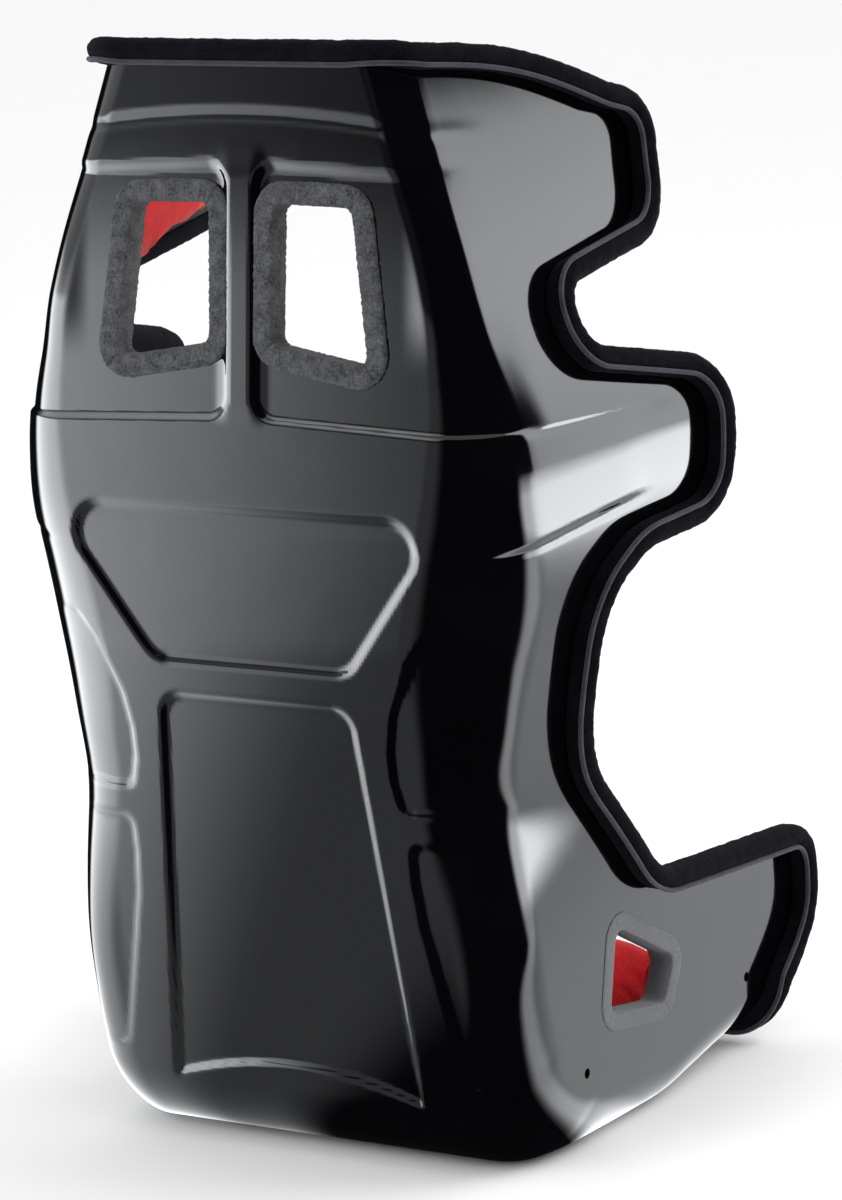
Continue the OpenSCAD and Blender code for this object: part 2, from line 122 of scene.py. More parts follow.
# ---------------------------------------------------------------- the seat's form, in millimetres
# (x, depth, z): depth runs forward from the plane of the back, as in the CAD part.
SHELL_T = 5
SHELL_TOP = 947
SPINE = [[435, 27, 0], [275, 0, 260], [27, 0, 68], [-9, 455, 400], [-9, 575, 300], [38, SHELL_TOP, 0]]
RIM = [[514, 150, 0, 0], [512, 178, 30, 30], [236, 205, 85, 420], [124, 345, 140, 680], [124, 491, 80, 850],
       [189, 533, 80, 910], [305, 540, 40, 930], [308, 645, 40, 1010], [140, 682, 39, 1056],
       [140, 753, 39, 1122], [312, 775, 42, 1146], [317, 870, 34, 1260], [272, 883, 0, 1e4]]
HIP, WAIST, CHEST, HEAD = 228, 205, 244, 134
WIDTHS = [[-50, HIP, 0], [185, HIP, 0], [245, HIP - 7, 0.035], [325, WAIST + 1, 0.11],
          [405, WAIST + 12, 0.11],
          [485, CHEST - 10, 0.10], [565, CHEST, 0.10], [625, CHEST - 3, 0.12], [665, CHEST - 10, 0.09],
          [715, CHEST - 25, 0.04], [795, HEAD + 61, 0.05], [875, HEAD + 29, 0.13], [945, HEAD, 0.21],
          [1015, HEAD - 29, 0.31]]
CORNER_R = [[0, 28], [200, 34], [345, 45], [395, 82], [455, 58], [540, 50], [640, 56], [750, 60], [850, 82],
            [910, 78], [990, 62], [1050, 50], [1110, 38], [1210, 31], [1330, 28]]
FRONT_BOW, TOP_BOW, BOW_LENGTH = 20, 11, 80
FLAT_U, CORNER_U = 2 / 11, 7 / 11

spine_path, _ = open_path(SPINE, 60)
spine_len = lengths(spine_path)
rim_path, rim_mids = open_path(RIM, 16)
rim_len = lengths(rim_path)
V_END = rim_len[-1]
corner_v = rim_len[rim_mids]
FOOT = [[v, min(c[3], spine_len[-1])] for v, c in zip(corner_v, RIM)]
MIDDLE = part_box("shell")[1].y / MM + spine_path[:, 0].min()
WIDTH_TABLE = [[row[0], row[1]] for row in WIDTHS]
FLARE_TABLE = [[row[0], row[2]] for row in WIDTHS]


def spine(s):
    return np.stack([np.interp(s, spine_len, spine_path[:, k]) for k in (0, 1)], -1)


def outer_point(v, u):
    """Outside of the shell at rim length v and u from -1 to 1, the two rims."""
    v, u = np.broadcast_arrays(np.asarray(v, float), np.asarray(u, float))
    s = smooth(v, FOOT, 24, read=line_on)
    p = spine(np.clip(s, 0, spine_len[-1]))
    t = unit(spine(np.clip(s + 8, 0, spine_len[-1])) - spine(np.clip(s - 8, 0, spine_len[-1])))
    e = np.stack([np.interp(v, rim_len, rim_path[:, 0]), np.interp(v, rim_len, rim_path[:, 1])], -1)
    across = e - p
    reach = np.linalg.norm(across, axis=-1)
    across = across / reach[..., None]
    lean = across[..., 0] * t[..., 1] - across[..., 1] * t[..., 0]
    r = smooth(s, CORNER_R, 50)
    a = np.abs(u)
    turn = np.pi / 2 * np.clip((a - FLAT_U) / (CORNER_U - FLAT_U), 0, 1)
    f = np.clip((a - CORNER_U) / (1 - CORNER_U), 0, 1)
    along = r * (1 - np.cos(turn)) / lean
    bow = np.stack([FRONT_BOW * np.clip(1 - v / BOW_LENGTH, 0, None),
                    TOP_BOW * np.clip(1 - (V_END - v) / BOW_LENGTH, 0, None)], -1)
    q = p + across * (along + f * (reach - along))[..., None] + bow * np.sin(np.pi * f)[..., None]
    w = smooth(q[..., 1], WIDTH_TABLE, 45) + smooth(q[..., 1], FLARE_TABLE, 45) * q[..., 0]
    x = np.where(a < FLAT_U, (w - r) * a / FLAT_U, w - r * (1 - np.sin(turn)))
    return np.stack([np.where(u < 0, -x, x), q[..., 0], q[..., 1]], -1)


def outer_normal(v, u):
    v, u = np.broadcast_arrays(np.asarray(v, float), np.asarray(u, float))
    vn, un = np.clip(v, 6, V_END - 6), np.clip(u, -0.95, 0.95)
    return unit(np.cross(outer_point(vn, un + 0.01) - outer_point(vn, un - 0.01),
                         outer_point(vn + 2, un) - outer_point(vn - 2, un)))


def place(p):
    """From (x, depth, z) in millimetres to the frame's metres."""
    p = np.asarray(p, float)
    return np.stack([p[..., 0], MIDDLE - p[..., 1], p[..., 2]], -1) * MM


# ---------------------------------------------------------------- openings of the shell
HARNESS, HARNESS_R = [[31, 715], [125, 699], [108, 829], [32, 831]], 9     # (x, z)
LAP, LAP_R = [[168, 111], [262, 94], [284, 130], [185, 185]], 11            # (depth, z)
CROTCH_HALF, CROTCH_REAR, CROTCH_FRONT, CROTCH_R = 32, 222, 246, 8
CUT = 2.3
UPPER_LOW, UPPER_HIGH = np.array(SPINE[4][:2], float), np.array(SPINE[5][:2], float)
upper_dir = unit(UPPER_HIGH - UPPER_LOW)


def on_back(x, z, h):
    """Point of the flat upper back, h outward from it, in (x, depth, z)."""
    x, z, h = np.broadcast_arrays(*(np.asarray(a, float) for a in (x, z, h)))
    along = UPPER_LOW + (z - UPPER_LOW[1])[..., None] * upper_dir
    out = along + h[..., None] * np.array([-upper_dir[1], upper_dir[0]])
    return np.stack([x, out[..., 0], out[..., 1]], -1)


def on_side(depth, z, h):
    """Point of the side wall at the hips, h outward from it."""
    depth, z, h = np.broadcast_arrays(*(np.asarray(a, float) for a in (depth, z, h)))
    return np.stack([HIP + h, depth, z], -1)


# ---------------------------------------------------------------- materials
class Nodes:
    """Short way to build a node tree."""

    def __init__(self, name):
        self.mat = bpy.data.materials.new(name)
        self.mat.use_nodes = True
        self.tree = self.mat.node_tree
        self.bsdf = self.tree.nodes["Principled BSDF"]
        self.coord = self.add("ShaderNodeTexCoord").outputs["Object"]

    def add(self, kind, **sockets):
        node = self.tree.nodes.new(kind)
        for key, value in sockets.items():
            target = node.inputs[int(key[1:]) if key.startswith("i") else key.replace("_", " ")]
            if isinstance(value, bpy.types.NodeSocket):
                self.tree.links.new(value, target)
            else:
                target.default_value = value
        return node

    def link(self, a, b):
        self.tree.links.new(a, b)

    def noise(self, scale, detail=2.0, rough=0.5, vector=None):
        return self.add("ShaderNodeTexNoise", Vector=vector or self.coord, Scale=scale, Detail=detail,
                        Roughness=rough).outputs["Fac"]

    def math(self, op, a, b=0.0):
        node = self.tree.nodes.new("ShaderNodeMath")
        node.operation = op
        for i, value in enumerate((a, b)):
            if isinstance(value, bpy.types.NodeSocket):
                self.link(value, node.inputs[i])
            else:
                node.inputs[i].default_value = value
        return node.outputs[0]

    def ramp(self, fac, stops):
        node = self.add("ShaderNodeValToRGB", Fac=fac)
        cr = node.color_ramp
        while len(cr.elements) < len(stops):
            cr.elements.new(0.5)
        for el, (at, value) in zip(cr.elements, stops):
            el.position = at
            el.color = (*value, 1) if len(value) == 3 else value
        return node.outputs["Color"]

    def bump(self, height, strength, distance, normal=None):
        node = self.add("ShaderNodeBump", Height=height, Strength=strength, Distance=distance)
        if normal is not None:
            self.link(normal, node.inputs["Normal"])
        return node.outputs["Normal"]

    def set(self, **values):
        for key, value in values.items():
            socket = self.bsdf.inputs[key.replace("_", " ")]
            if isinstance(value, bpy.types.NodeSocket):
                self.link(value, socket)
            else:
                socket.default_value = value
        return self.mat


def grey(v, tint=(1, 1, 1)):
    return tuple(v * t for t in tint)


def gelcoat():
    """Gloss black gelcoat with a faint unevenness of the mould in its reflections."""
    n = Nodes("gelcoat")
    broad = n.noise(9, 2)
    fine = n.noise(260, 1)
    rough = n.ramp(n.noise(35, 4), [(0.3, grey(0.045)), (0.75, grey(0.085))])
    normal = n.bump(fine, 0.02, 0.0004, n.bump(broad, 0.04, 0.004))
    base = n.ramp(broad, [(0.3, (0.0008, 0.0008, 0.0012)), (0.7, (0.0016, 0.0016, 0.0022))])
    return n.set(Base_Color=base, Roughness=rough, Normal=normal, Specular_IOR_Level=0.5, IOR=1.5)


def velour(name, dark, light, scale=520, patch=60, sheen=0.5, tint=(0.75, 0.72, 0.85, 1), depth=0.0012,
           gloss=0.2):
    """Short pile: fine clumps, brushed patches and a sheen at grazing angles."""
    n = Nodes(name)
    pile = n.noise(scale, 4, 0.7)
    patches = n.noise(patch, 3, 0.6)
    mixed = n.math("ADD", n.math("MULTIPLY", pile, 0.6), n.math("MULTIPLY", patches, 0.4))
    base = n.ramp(mixed, [(0.36, dark), (0.64, light)])
    normal = n.bump(pile, 0.9, depth, n.bump(patches, 0.35, 0.003))
    return n.set(Base_Color=base, Roughness=0.95, Normal=normal, Specular_IOR_Level=gloss,
                 Sheen_Weight=sheen, Sheen_Roughness=0.45, Sheen_Tint=tint)


def cloth(name, dark, light, pitch=1.6, sheen=0.25, tint=(1, 1, 1, 1), rough=0.85):
    """Woven cover cloth: crossed threads, slubs and slight fading."""
    n = Nodes(name)
    freq = 1000 * math.pi / pitch
    sep = n.add("ShaderNodeSeparateXYZ", Vector=n.coord)
    x, y, z = sep.outputs
    a = n.math("SINE", n.math("MULTIPLY", n.math("ADD", x, n.math("MULTIPLY", y, 0.7)), freq))
    b = n.math("SINE", n.math("MULTIPLY", n.math("ADD", z, n.math("MULTIPLY", y, 0.7)), freq))
    weave = n.math("MULTIPLY", a, b)
    slub = n.noise(420, 3, 0.6)
    fade = n.noise(14, 3)
    mixed = n.math("ADD", n.math("MULTIPLY", weave, 0.14),
                   n.math("ADD", n.math("MULTIPLY", slub, 0.45), n.math("MULTIPLY", fade, 0.4)))
    base = n.ramp(mixed, [(0.25, dark), (0.62, light)])
    normal = n.bump(slub, 0.35, 0.0006, n.bump(weave, 0.45, 0.0004))
    return n.set(Base_Color=base, Roughness=rough, Normal=normal, Specular_IOR_Level=0.25,
                 Sheen_Weight=sheen, Sheen_Roughness=0.4, Sheen_Tint=tint)


def steel(name, tone):
    n = Nodes(name)
    grain = n.noise(900, 2)
    base = n.ramp(n.noise(40, 3), [(0.3, grey(tone * 0.8)), (0.7, grey(tone, (1, 1, 1.02)))])
    rough = n.ramp(grain, [(0.3, grey(0.28)), (0.7, grey(0.42))])
    return n.set(Base_Color=base, Metallic=1.0, Roughness=rough, Normal=n.bump(grain, 0.15, 0.0002))


def rubber(name, tone):
    n = Nodes(name)
    base = n.ramp(n.noise(50, 4), [(0.3, grey(tone * 0.8)), (0.7, grey(tone * 1.3))])
    rough = n.ramp(n.noise(300, 3), [(0.3, grey(0.5)), (0.7, grey(0.68))])
    return n.set(Base_Color=base, Roughness=rough, Normal=n.bump(n.noise(700, 2), 0.2, 0.0002))


GELCOAT = gelcoat()
TRIM = velour("trim_velour", (0.0016, 0.0014, 0.0022), (0.007, 0.0065, 0.010), sheen=0.02, gloss=0.03)
PIPING = velour("trim_piping", (0.016, 0.015, 0.02), (0.05, 0.048, 0.06), scale=900, sheen=0.3)
SLOT_VELOUR = velour("slot_velour", (0.016, 0.0165, 0.019), (0.115, 0.117, 0.125), scale=430, patch=90,
                     sheen=0.12, tint=(0.9, 0.92, 1, 1), depth=0.0018)
SLOT_TEXTILE = cloth("slot_textile", (0.085, 0.09, 0.098), (0.15, 0.155, 0.165), pitch=1.1, sheen=0.15)
RED = velour("red_velour", (0.42, 0.004, 0.009), (0.78, 0.016, 0.022), scale=600, patch=26, sheen=0.35,
             tint=(1, 0.55, 0.5, 1), depth=0.0006)
BLACK_CLOTH = cloth("black_cloth", (0.008, 0.008, 0.010), (0.03, 0.03, 0.034), pitch=3.2, sheen=0.2)
LINING = velour("lining", (0.012, 0.012, 0.014), (0.034, 0.034, 0.038), scale=700, patch=18, sheen=0.25,
                tint=(0.9, 0.9, 1, 1), depth=0.0005)
HOOKS = velour("hook_tape", (0.008, 0.008, 0.009), (0.05, 0.05, 0.055), scale=1300, sheen=0.1, depth=0.001)
PLATE = steel("plate_steel", 0.5)
INSERT = steel("insert_steel", 0.68)
SLOT_RUBBER = rubber("slot_rubber", 0.02)


# ---------------------------------------------------------------- meshes
def make(name, points, faces, material, body="seat", slot=None, replaces=(), smooth_angle=50):
    """Mesh object from points in (x, depth, z) millimetres."""
    mesh = bpy.data.meshes.new(name)
    mesh.from_pydata(place(points).tolist(), [], [list(f) for f in faces])
    mesh.validate()
    obj = bpy.data.objects.new(name, mesh)
    bpy.context.collection.objects.link(obj)
    bm = bmesh.new()
    bm.from_mesh(mesh)
    bmesh.ops.recalc_face_normals(bm, faces=bm.faces)
    bm.to_mesh(mesh)
    bm.free()
    finish_mesh(obj, material, smooth_angle)
    if body:
        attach(obj, body)
    if replaces:
        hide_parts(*replaces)
    return obj


def finish_mesh(obj, material, smooth_angle=50):
    mesh = obj.data
    if material:
        mesh.materials.clear()
        mesh.materials.append(material)
    mesh.shade_smooth()
    mesh.set_sharp_from_angle(angle=math.radians(smooth_angle))


def cut(obj, cutters):
    """Subtracts closed cutters, which are then removed."""
    for cutter in cutters:
        mod = obj.modifiers.new("cut", "BOOLEAN")
        mod.object = cutter
        mod.operation = "DIFFERENCE"
        mod.solver = "EXACT"
    apply_modifiers(obj)
    for cutter in cutters:
        bpy.data.objects.remove(cutter)


def apply_modifiers(obj):
    dg = bpy.context.evaluated_depsgraph_get()
    mesh = bpy.data.meshes.new_from_object(obj.evaluated_get(dg))
    obj.modifiers.clear()
    old = obj.data
    obj.data = mesh
    bpy.data.meshes.remove(old)


def prism(name, low, high):
    """Closed solid between two outlines of the same number of points."""
    n = len(low)
    faces = [list(range(n)), list(range(n, 2 * n))]
    faces += [[i, (i + 1) % n, n + (i + 1) % n, n + i] for i in range(n)]
    return make(name, np.concatenate([low, high]), faces, None, body=None)


def slab_mesh(outer, inner, every=1):
    """Points and faces of the closed solid between two grids; the inner one may have fewer points."""
    rows, cols = outer.shape[:2]
    r2, c2 = inner.shape[:2]
    n = rows * cols
    faces = [[i * cols + j, i * cols + j + 1, (i + 1) * cols + j + 1, (i + 1) * cols + j]
             for i in range(rows - 1) for j in range(cols - 1)]
    faces += [[n + i * c2 + j, n + (i + 1) * c2 + j, n + (i + 1) * c2 + j + 1, n + i * c2 + j + 1]
              for i in range(r2 - 1) for j in range(c2 - 1)]
    for i, k in ((0, 0), (rows - 1, r2 - 1)):
        faces += [[i * cols + j * every + m for m in range(every + 1)] + [n + k * c2 + j + 1, n + k * c2 + j]
                  for j in range(c2 - 1)]
    for j, k in ((0, 0), (cols - 1, c2 - 1)):
        faces += [[(i * every + m) * cols + j for m in range(every + 1)]
                  + [n + (i + 1) * c2 + k, n + i * c2 + k]
                  for i in range(r2 - 1)]
    return np.concatenate([outer.reshape(-1, 3), inner.reshape(-1, 3)]), faces


def sweep_mesh(sections):
    """Closed ring through equal closed sections."""
    n, m = sections.shape[:2]
    faces = [[i * m + j, i * m + (j + 1) % m, (i + 1) % n * m + (j + 1) % m, (i + 1) % n * m + j]
             for i in range(n) for j in range(m)]
    return sections.reshape(-1, 3), faces


def mirrored(obj, name, body="seat", replaces=()):
    """Copy of a piece on the other side of the centre plane."""
    copy = obj.copy()
    copy.data = obj.data.copy()
    copy.name = name
    copy.data.name = name
    for key in list(copy.keys()):
        if key.startswith("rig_"):
            del copy[key]
    copy.parent = None
    bpy.context.collection.objects.link(copy)
    copy.data.transform(Matrix.Scale(-1, 4, (1, 0, 0)))
    copy.data.flip_normals()
    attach(copy, body)
    if replaces:
        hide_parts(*replaces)
    return copy


# ---------------------------------------------------------------- mould features of the shell
def polygon_distance(x, z, corners, r=0):
    """Signed distance to a rounded outline, negative inside."""
    c = np.array(grown(corners, -r)) if r else np.asarray(corners, float)
    best = np.full(x.shape, 1e9)
    inside = np.zeros(x.shape, bool)
    for a, b in zip(c, np.roll(c, -1, axis=0)):
        e = b - a
        px, pz = x - a[0], z - a[1]
        t = np.clip((px * e[0] + pz * e[1]) / (e @ e), 0, 1)
        best = np.minimum(best, np.hypot(px - t * e[0], pz - t * e[1]))
        hit = (a[1] > z) != (b[1] > z)
        inside ^= hit & (x < a[0] + e[0] * (z - a[1]) / (e[1] if e[1] else 1e-9))
    return np.where(inside, -best, best) - r


def features(p):
    """How far the mould's features stand out from the plain form, in mm."""
    x, d, z = np.abs(p[..., 0]), p[..., 1], p[..., 2]
    back = 1 - ramp(70, 105, d)
    out = np.zeros(x.shape)
    edge = 6
    side = 1 - ramp(165, 212, x)
    # recessed upper panel, wider at its top
    upper = polygon_distance(x, z, [[-201, 578], [-98, 439], [98, 439], [201, 578]], 30)
    out -= 3.2 * ramp(0, edge, -upper) * back
    # recessed lower panel with an arched lower edge
    lower = polygon_distance(x, z, [[-97, 414], [-131, 30], [131, 30], [97, 414]], 24)
    lower = np.maximum(lower, 61 + 19 * (1 - (x / 118) ** 2) - z)
    out -= 3.6 * ramp(0, edge, -lower) * (1 - ramp(60, 90, d))
    # pockets beside the waist and the hips, open towards the side
    waist = polygon_distance(x, z, [[300, 482], [300, 322], [134, 322], [127, 352], [127, 378], [133, 410],
                                    [154, 458], [176, 482]][::-1], 12)
    out -= 3.0 * ramp(0, edge, -waist) * (1 - ramp(40, 80, d)) * side
    hips = polygon_distance(x, z,
                            [[300, 300], [300, 80], [172, 80], [142, 225], [138, 262], [138, 300]][::-1], 14)
    out -= 3.0 * ramp(0, edge, -hips) * (1 - ramp(40, 75, d)) * side
    # pockets of the harness slots and the rib between them
    shoulder = 649 - 6 * np.clip((x - 31) / 157, 0, 1) - 0.045 * np.clip(d, 0, None)
    top = 863 - 6 * np.clip((x - 30) / 115, 0, 1)
    corner = 22
    inner = x - 11
    a, b, c = corner - inner, corner - (z - shoulder), corner - (top - z)
    low_corner = np.where((a > 0) & (b > 0), np.hypot(a, b) - corner, -np.minimum(inner, z - shoulder))
    top_corner = np.where((a > 0) & (c > 0), np.hypot(a, c) - corner, -np.minimum(inner, top - z))
    pocket = np.maximum(low_corner, top_corner)
    side_fade = 1 - ramp(155, 205, x) * ramp(690, 750, z)
    out -= 3.4 * ramp(0, 6, -pocket) * side_fade * (1 - ramp(30, 90, d))
    rib = ramp(26, 11, x) * ramp(642, 668, z) * ramp(880, 852, z)
    out += 1.6 * rib * back
    # fine crease that carries the shoulder line round the side
    line = z - (643 - 0.045 * np.clip(d, 0, None))
    out -= 1.3 * np.exp(-(line / 3.0) ** 2) * ramp(40, 80, d) * (1 - ramp(225, 262, d))
    # soft channel under the top edge
    arc = z - (900 - 0.0005 * x ** 2 - 0.0002 * d ** 2)
    out -= 0.9 * np.exp(-(arc / 5.0) ** 2) * (1 - ramp(60, 130, d))
    # fold below the shoulder wing
    fold = z - (543 + 0.105 * d)
    reach = ramp(-20, 30, d) * (1 - ramp(170, 225, d)) * ramp(150, 215, x)
    out += 1.2 * ramp(-4, 4, fold) * np.exp(-np.clip(fold, 0, None) / 40) * reach
    out -= 0.9 * np.exp(-((fold + 3) / 3.5) ** 2) * reach
    return out


FLAT_CELLS, CORNER_CELLS, SIDE_CELLS = 54, 24, 27
INNER_EVERY = 3


def u_values(flat, corner, side):
    half = np.concatenate([np.linspace(0, FLAT_U, flat + 1)[:-1],
                           np.linspace(FLAT_U, CORNER_U, corner + 1)[:-1],
                           np.linspace(CORNER_U, 1, side + 1)])
    return np.concatenate([-half[:0:-1], half])


def v_values(rows, side_weight=0.35):
    """Rim lengths of the rows: even steps along the back and, with less weight, along the rim."""
    v = np.linspace(0, V_END, 4000)
    s = smooth(v, FOOT, 24, read=line_on)
    step = np.sqrt(np.diff(s) ** 2 + side_weight * np.diff(v) ** 2)
    return np.interp(np.linspace(0, step.sum(), rows), np.concatenate([[0], np.cumsum(step)]), v)


def harness_cutters(extra):
    made = []
    for side in (1, -1):
        ring = closed_path(grown(HARNESS, extra), HARNESS_R + extra) * [side, 1]
        made.append(prism("cutter", on_back(ring[:, 0], ring[:, 1], -60),
                          on_back(ring[:, 0], ring[:, 1], 60)))
    return made


def lap_cutters(extra):
    made = []
    ring = closed_path(grown(LAP, extra), LAP_R + extra)
    for side in (1, -1):
        made.append(prism("cutter", on_side(ring[:, 0], ring[:, 1], -60) * [side, 1, 1],
                          on_side(ring[:, 0], ring[:, 1], 60) * [side, 1, 1]))
    return made


def crotch_cutter(extra):
    x, rear, front = CROTCH_HALF + extra, CROTCH_REAR - extra, CROTCH_FRONT + extra
    ring = closed_path([[-x, rear], [x, rear], [x, front], [-x, front]], CROTCH_R + extra)
    flat = [np.stack([ring[:, 0], ring[:, 1], np.full(len(ring), z)], -1) for z in (-60.0, 60.0)]
    return [prism("cutter", *flat)]


MOUNT_DEPTHS, MOUNT_Z, MOUNT_HOLE_R = (124, 414), 72, 4.5


def mount_cutters():
    made = []
    angles = np.linspace(0, 2 * np.pi, 33)[:-1]
    for side in (1, -1):
        for depth in MOUNT_DEPTHS:
            ring = [depth + MOUNT_HOLE_R * np.cos(angles), MOUNT_Z + MOUNT_HOLE_R * np.sin(angles)]
            made.append(prism("cutter", on_side(*ring, -15) * [side, 1, 1],
                              on_side(*ring, 15) * [side, 1, 1]))
    return made


def build_shell():
    u = u_values(FLAT_CELLS, CORNER_CELLS, SIDE_CELLS)
    v = v_values(451)
    vv, uu = np.meshgrid(v, u, indexing="ij")
    base, normal = outer_point(vv, uu), outer_normal(vv, uu)
    outer = base + normal * features(base)[..., None]
    inner = (base - normal * SHELL_T)[::INNER_EVERY, ::INNER_EVERY]
    shell = make("shell_moulded", *slab_mesh(outer, inner, INNER_EVERY), GELCOAT, slot="shell_gelcoat",
                 replaces=["shell"])
    cut(shell, harness_cutters(CUT) + lap_cutters(CUT) + crotch_cutter(CUT) + mount_cutters())
    finish_mesh(shell, GELCOAT, 40)
    return shell


shell = build_shell()


# ---------------------------------------------------------------- rim loop and edge trim
def rim_frames(step):
    """Points round the whole rim with the outward and the away direction at each."""
    half_u = np.linspace(0, 1, int(250 / step))[:-1]
    v = v_values(int(1700 / step), 1.0)
    vs = np.concatenate([np.zeros(len(half_u)), v, np.full(len(half_u), V_END)])
    us = np.concatenate([half_u, np.ones(len(v)), half_u[::-1]])
    vs = np.concatenate([vs, vs[-2:0:-1]])
    us = np.concatenate([us, -us[-2:0:-1]])
    p = outer_point(vs, us)
    dist = np.concatenate([[0], np.cumsum(np.linalg.norm(np.diff(np.vstack([p, p[:1]]), axis=0), axis=1))])
    even = np.arange(0, dist[-1], step)
    even = even * dist[-1] / (even[-1] + step)
    wrap = lambda a: np.stack([np.interp(even, dist, np.append(column, column[0])) for column in a.T], -1)
    p, n = wrap(p), unit(wrap(outer_normal(vs, us)))
    for _ in range(3):
        n = unit(n + np.roll(n, 1, 0) + np.roll(n, -1, 0))
    along = unit(np.roll(p, -1, 0) - np.roll(p, 1, 0))
    away = unit(np.cross(along, n))
    return p, unit(np.cross(away, along)), away


def spline(points, per=4):
    """Closed Catmull-Rom curve through points."""
    p = np.asarray(points, float)
    out = []
    for i in range(len(p)):
        a, b, c, d = p[i - 1], p[i], p[(i + 1) % len(p)], p[(i + 2) % len(p)]
        for t in np.arange(per) / per:
            out.append(0.5 * (2 * b + (c - a) * t + (2 * a - 5 * b + 4 * c - d) * t ** 2
                              + (3 * b - a - 3 * c + d) * t ** 3))
    return np.array(out)


TRIM_PROFILE = [[0.5, -4.6], [5, -5.4], [9, -5.5], [12.2, -4.9], [14.5, -3.4], [17.2, -1.6], [19.4, 2],
                [20, 6.4], [17.8, 11.4], [13, 14.6], [6, 15.2], [-2, 14], [-8, 10], [-10.6, 4],
                [-10.8, -3], [-10, -8.6], [-6.6, -9.4], [-5.6, -7], [-5.6, 0.4], [0, 0.6]]


def build_trim():
    p, n, away = rim_frames(3.0)
    profile = spline(TRIM_PROFILE, 2)
    sections = p[:, None] + n[:, None] * profile[None, :, :1] + away[:, None] * profile[None, :, 1:]
    jitter = rng.normal(0, 0.28, sections.shape[:2] + (1,))
    soft = (jitter + np.roll(jitter, 1, 0) + np.roll(jitter, 1, 1)) / 2
    centre = sections.mean(axis=1, keepdims=True)
    sections = sections + unit(sections - centre) * soft
    make("edge_trim_velour", *sweep_mesh(sections), TRIM, slot="trim_velour", replaces=["edge_trim"],
         smooth_angle=180)
    ring = np.linspace(0, 2 * np.pi, 9)[:-1]
    centre, r = (16.2, -4.9), 2.2
    pipe = np.stack([centre[0] + r * np.cos(ring), centre[1] + r * np.sin(ring)], -1)
    sections = p[:, None] + n[:, None] * pipe[None, :, :1] + away[:, None] * pipe[None, :, 1:]
    make("edge_piping", *sweep_mesh(sections), PIPING, slot="trim_piping", replaces=["edge_welt"],
         smooth_angle=180)


build_trim()


# ---------------------------------------------------------------- bands round the slots
def band(name, corners, r, profile, put, material, slot_name, node, fuzz, seam):
    """Fabric band round a slot. profile is [outward from the slot, height above the shell]."""
    outlines = []
    for d, _ in profile:
        path = closed_path(grown(corners, d), r + d, 10)
        dist = lengths(np.vstack([path, path[:1]]))
        outlines.append((path, dist))
    count = 300
    base_dist = outlines[0][1]
    t = np.arange(count) / count
    rings = []
    for (path, dist), (d, h) in zip(outlines, profile):
        # walk every outline in step, so that its corners stay in line with the others'
        idx = np.interp(t * base_dist[-1], base_dist, np.arange(len(base_dist)))
        wrapped = np.vstack([path, path[:1]])
        pts = np.stack([np.interp(idx, np.arange(len(wrapped)), wrapped[:, k]) for k in (0, 1)], -1)
        rings.append((pts, h))
    corner_index = np.array([i * 11 + 5 for i in range(len(corners))])
    corner_t = base_dist[corner_index] / base_dist[-1]
    gap_t = np.abs((t[:, None] - corner_t[None] + 0.5) % 1 - 0.5).min(axis=1) * base_dist[-1]
    mitre = np.exp(-(gap_t / 1.6) ** 2)
    sections = []
    for pts, h in rings:
        lift = h - seam * mitre * (h > 0)
        sections.append(put(pts[:, 0], pts[:, 1], lift))
    sections = np.stack(sections, 1)
    sections = sections + rng.normal(0, fuzz, sections.shape)
    obj = make(name + "_left", *sweep_mesh(sections), material, slot=slot_name, replaces=[node + "_left"],
               smooth_angle=180)
    mirrored(obj, name + "_right", replaces=[node + "_right"])
    return obj


HARNESS_BAND = [[18.8, -4.4], [19.4, -2.4], [18.6, -0.2], [16.4, 1.0], [13, 1.3], [9, 1.4], [5, 1.3],
                [2, 0.9],
                [0.4, -0.4], [0, -3], [0, -12], [0, -21.5], [2, -21.5], [2, -12], [2, -5]]
band("harness_band", HARNESS, HARNESS_R, HARNESS_BAND, on_back, SLOT_VELOUR, "slot_velour",
     "harness_slot_trim", 0.28, 1.6)
LAP_BAND = [[15.9, -0.5], [16.1, 0.3], [15.2, 0.9], [13, 1.1], [9, 1.2], [5, 1.2], [2, 1.1], [0.6, 0.8],
            [0, 0.2],
            [0, -6], [0, -21], [2, -21], [2, -6], [2, -0.6]]
band("lap_band", LAP, LAP_R, LAP_BAND, on_side, SLOT_TEXTILE, "slot_textile", "lap_slot_trim", 0.05, 0.5)


# ---------------------------------------------------------------- lining
GLUE, LINER_T, LINER_MARGIN, LINER_END = 1.1, 2, 12, 15


def build_liner():
    v = v_values(260)
    v = v[(v > LINER_END) & (v < V_END - LINER_END)]
    v = np.concatenate([[LINER_END], v, [V_END - LINER_END]])
    u = u_values(16, 14, 18)
    vv, uu = np.meshgrid(v, u, indexing="ij")
    side = np.linalg.norm(outer_point(vv, 1.0) - outer_point(vv, CORNER_U), axis=-1) / (1 - CORNER_U)
    uu = uu * (1 - LINER_MARGIN / side)
    base, normal = outer_point(vv, uu), outer_normal(vv, uu)
    near = SHELL_T + GLUE
    liner = make("lining_fabric", *slab_mesh(base - normal * near, base - normal * (near + LINER_T)), LINING,
                 slot="lining_fabric", replaces=["inner_liner"])
    cut(liner, harness_cutters(CUT) + lap_cutters(CUT) + crotch_cutter(CUT))
    finish_mesh(liner, LINING, 40)


build_liner()


# ---------------------------------------------------------------- CAD pieces that keep their mesh
def dress(node, material):
    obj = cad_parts[node]
    obj.data.materials.clear()
    obj.data.materials.append(material)


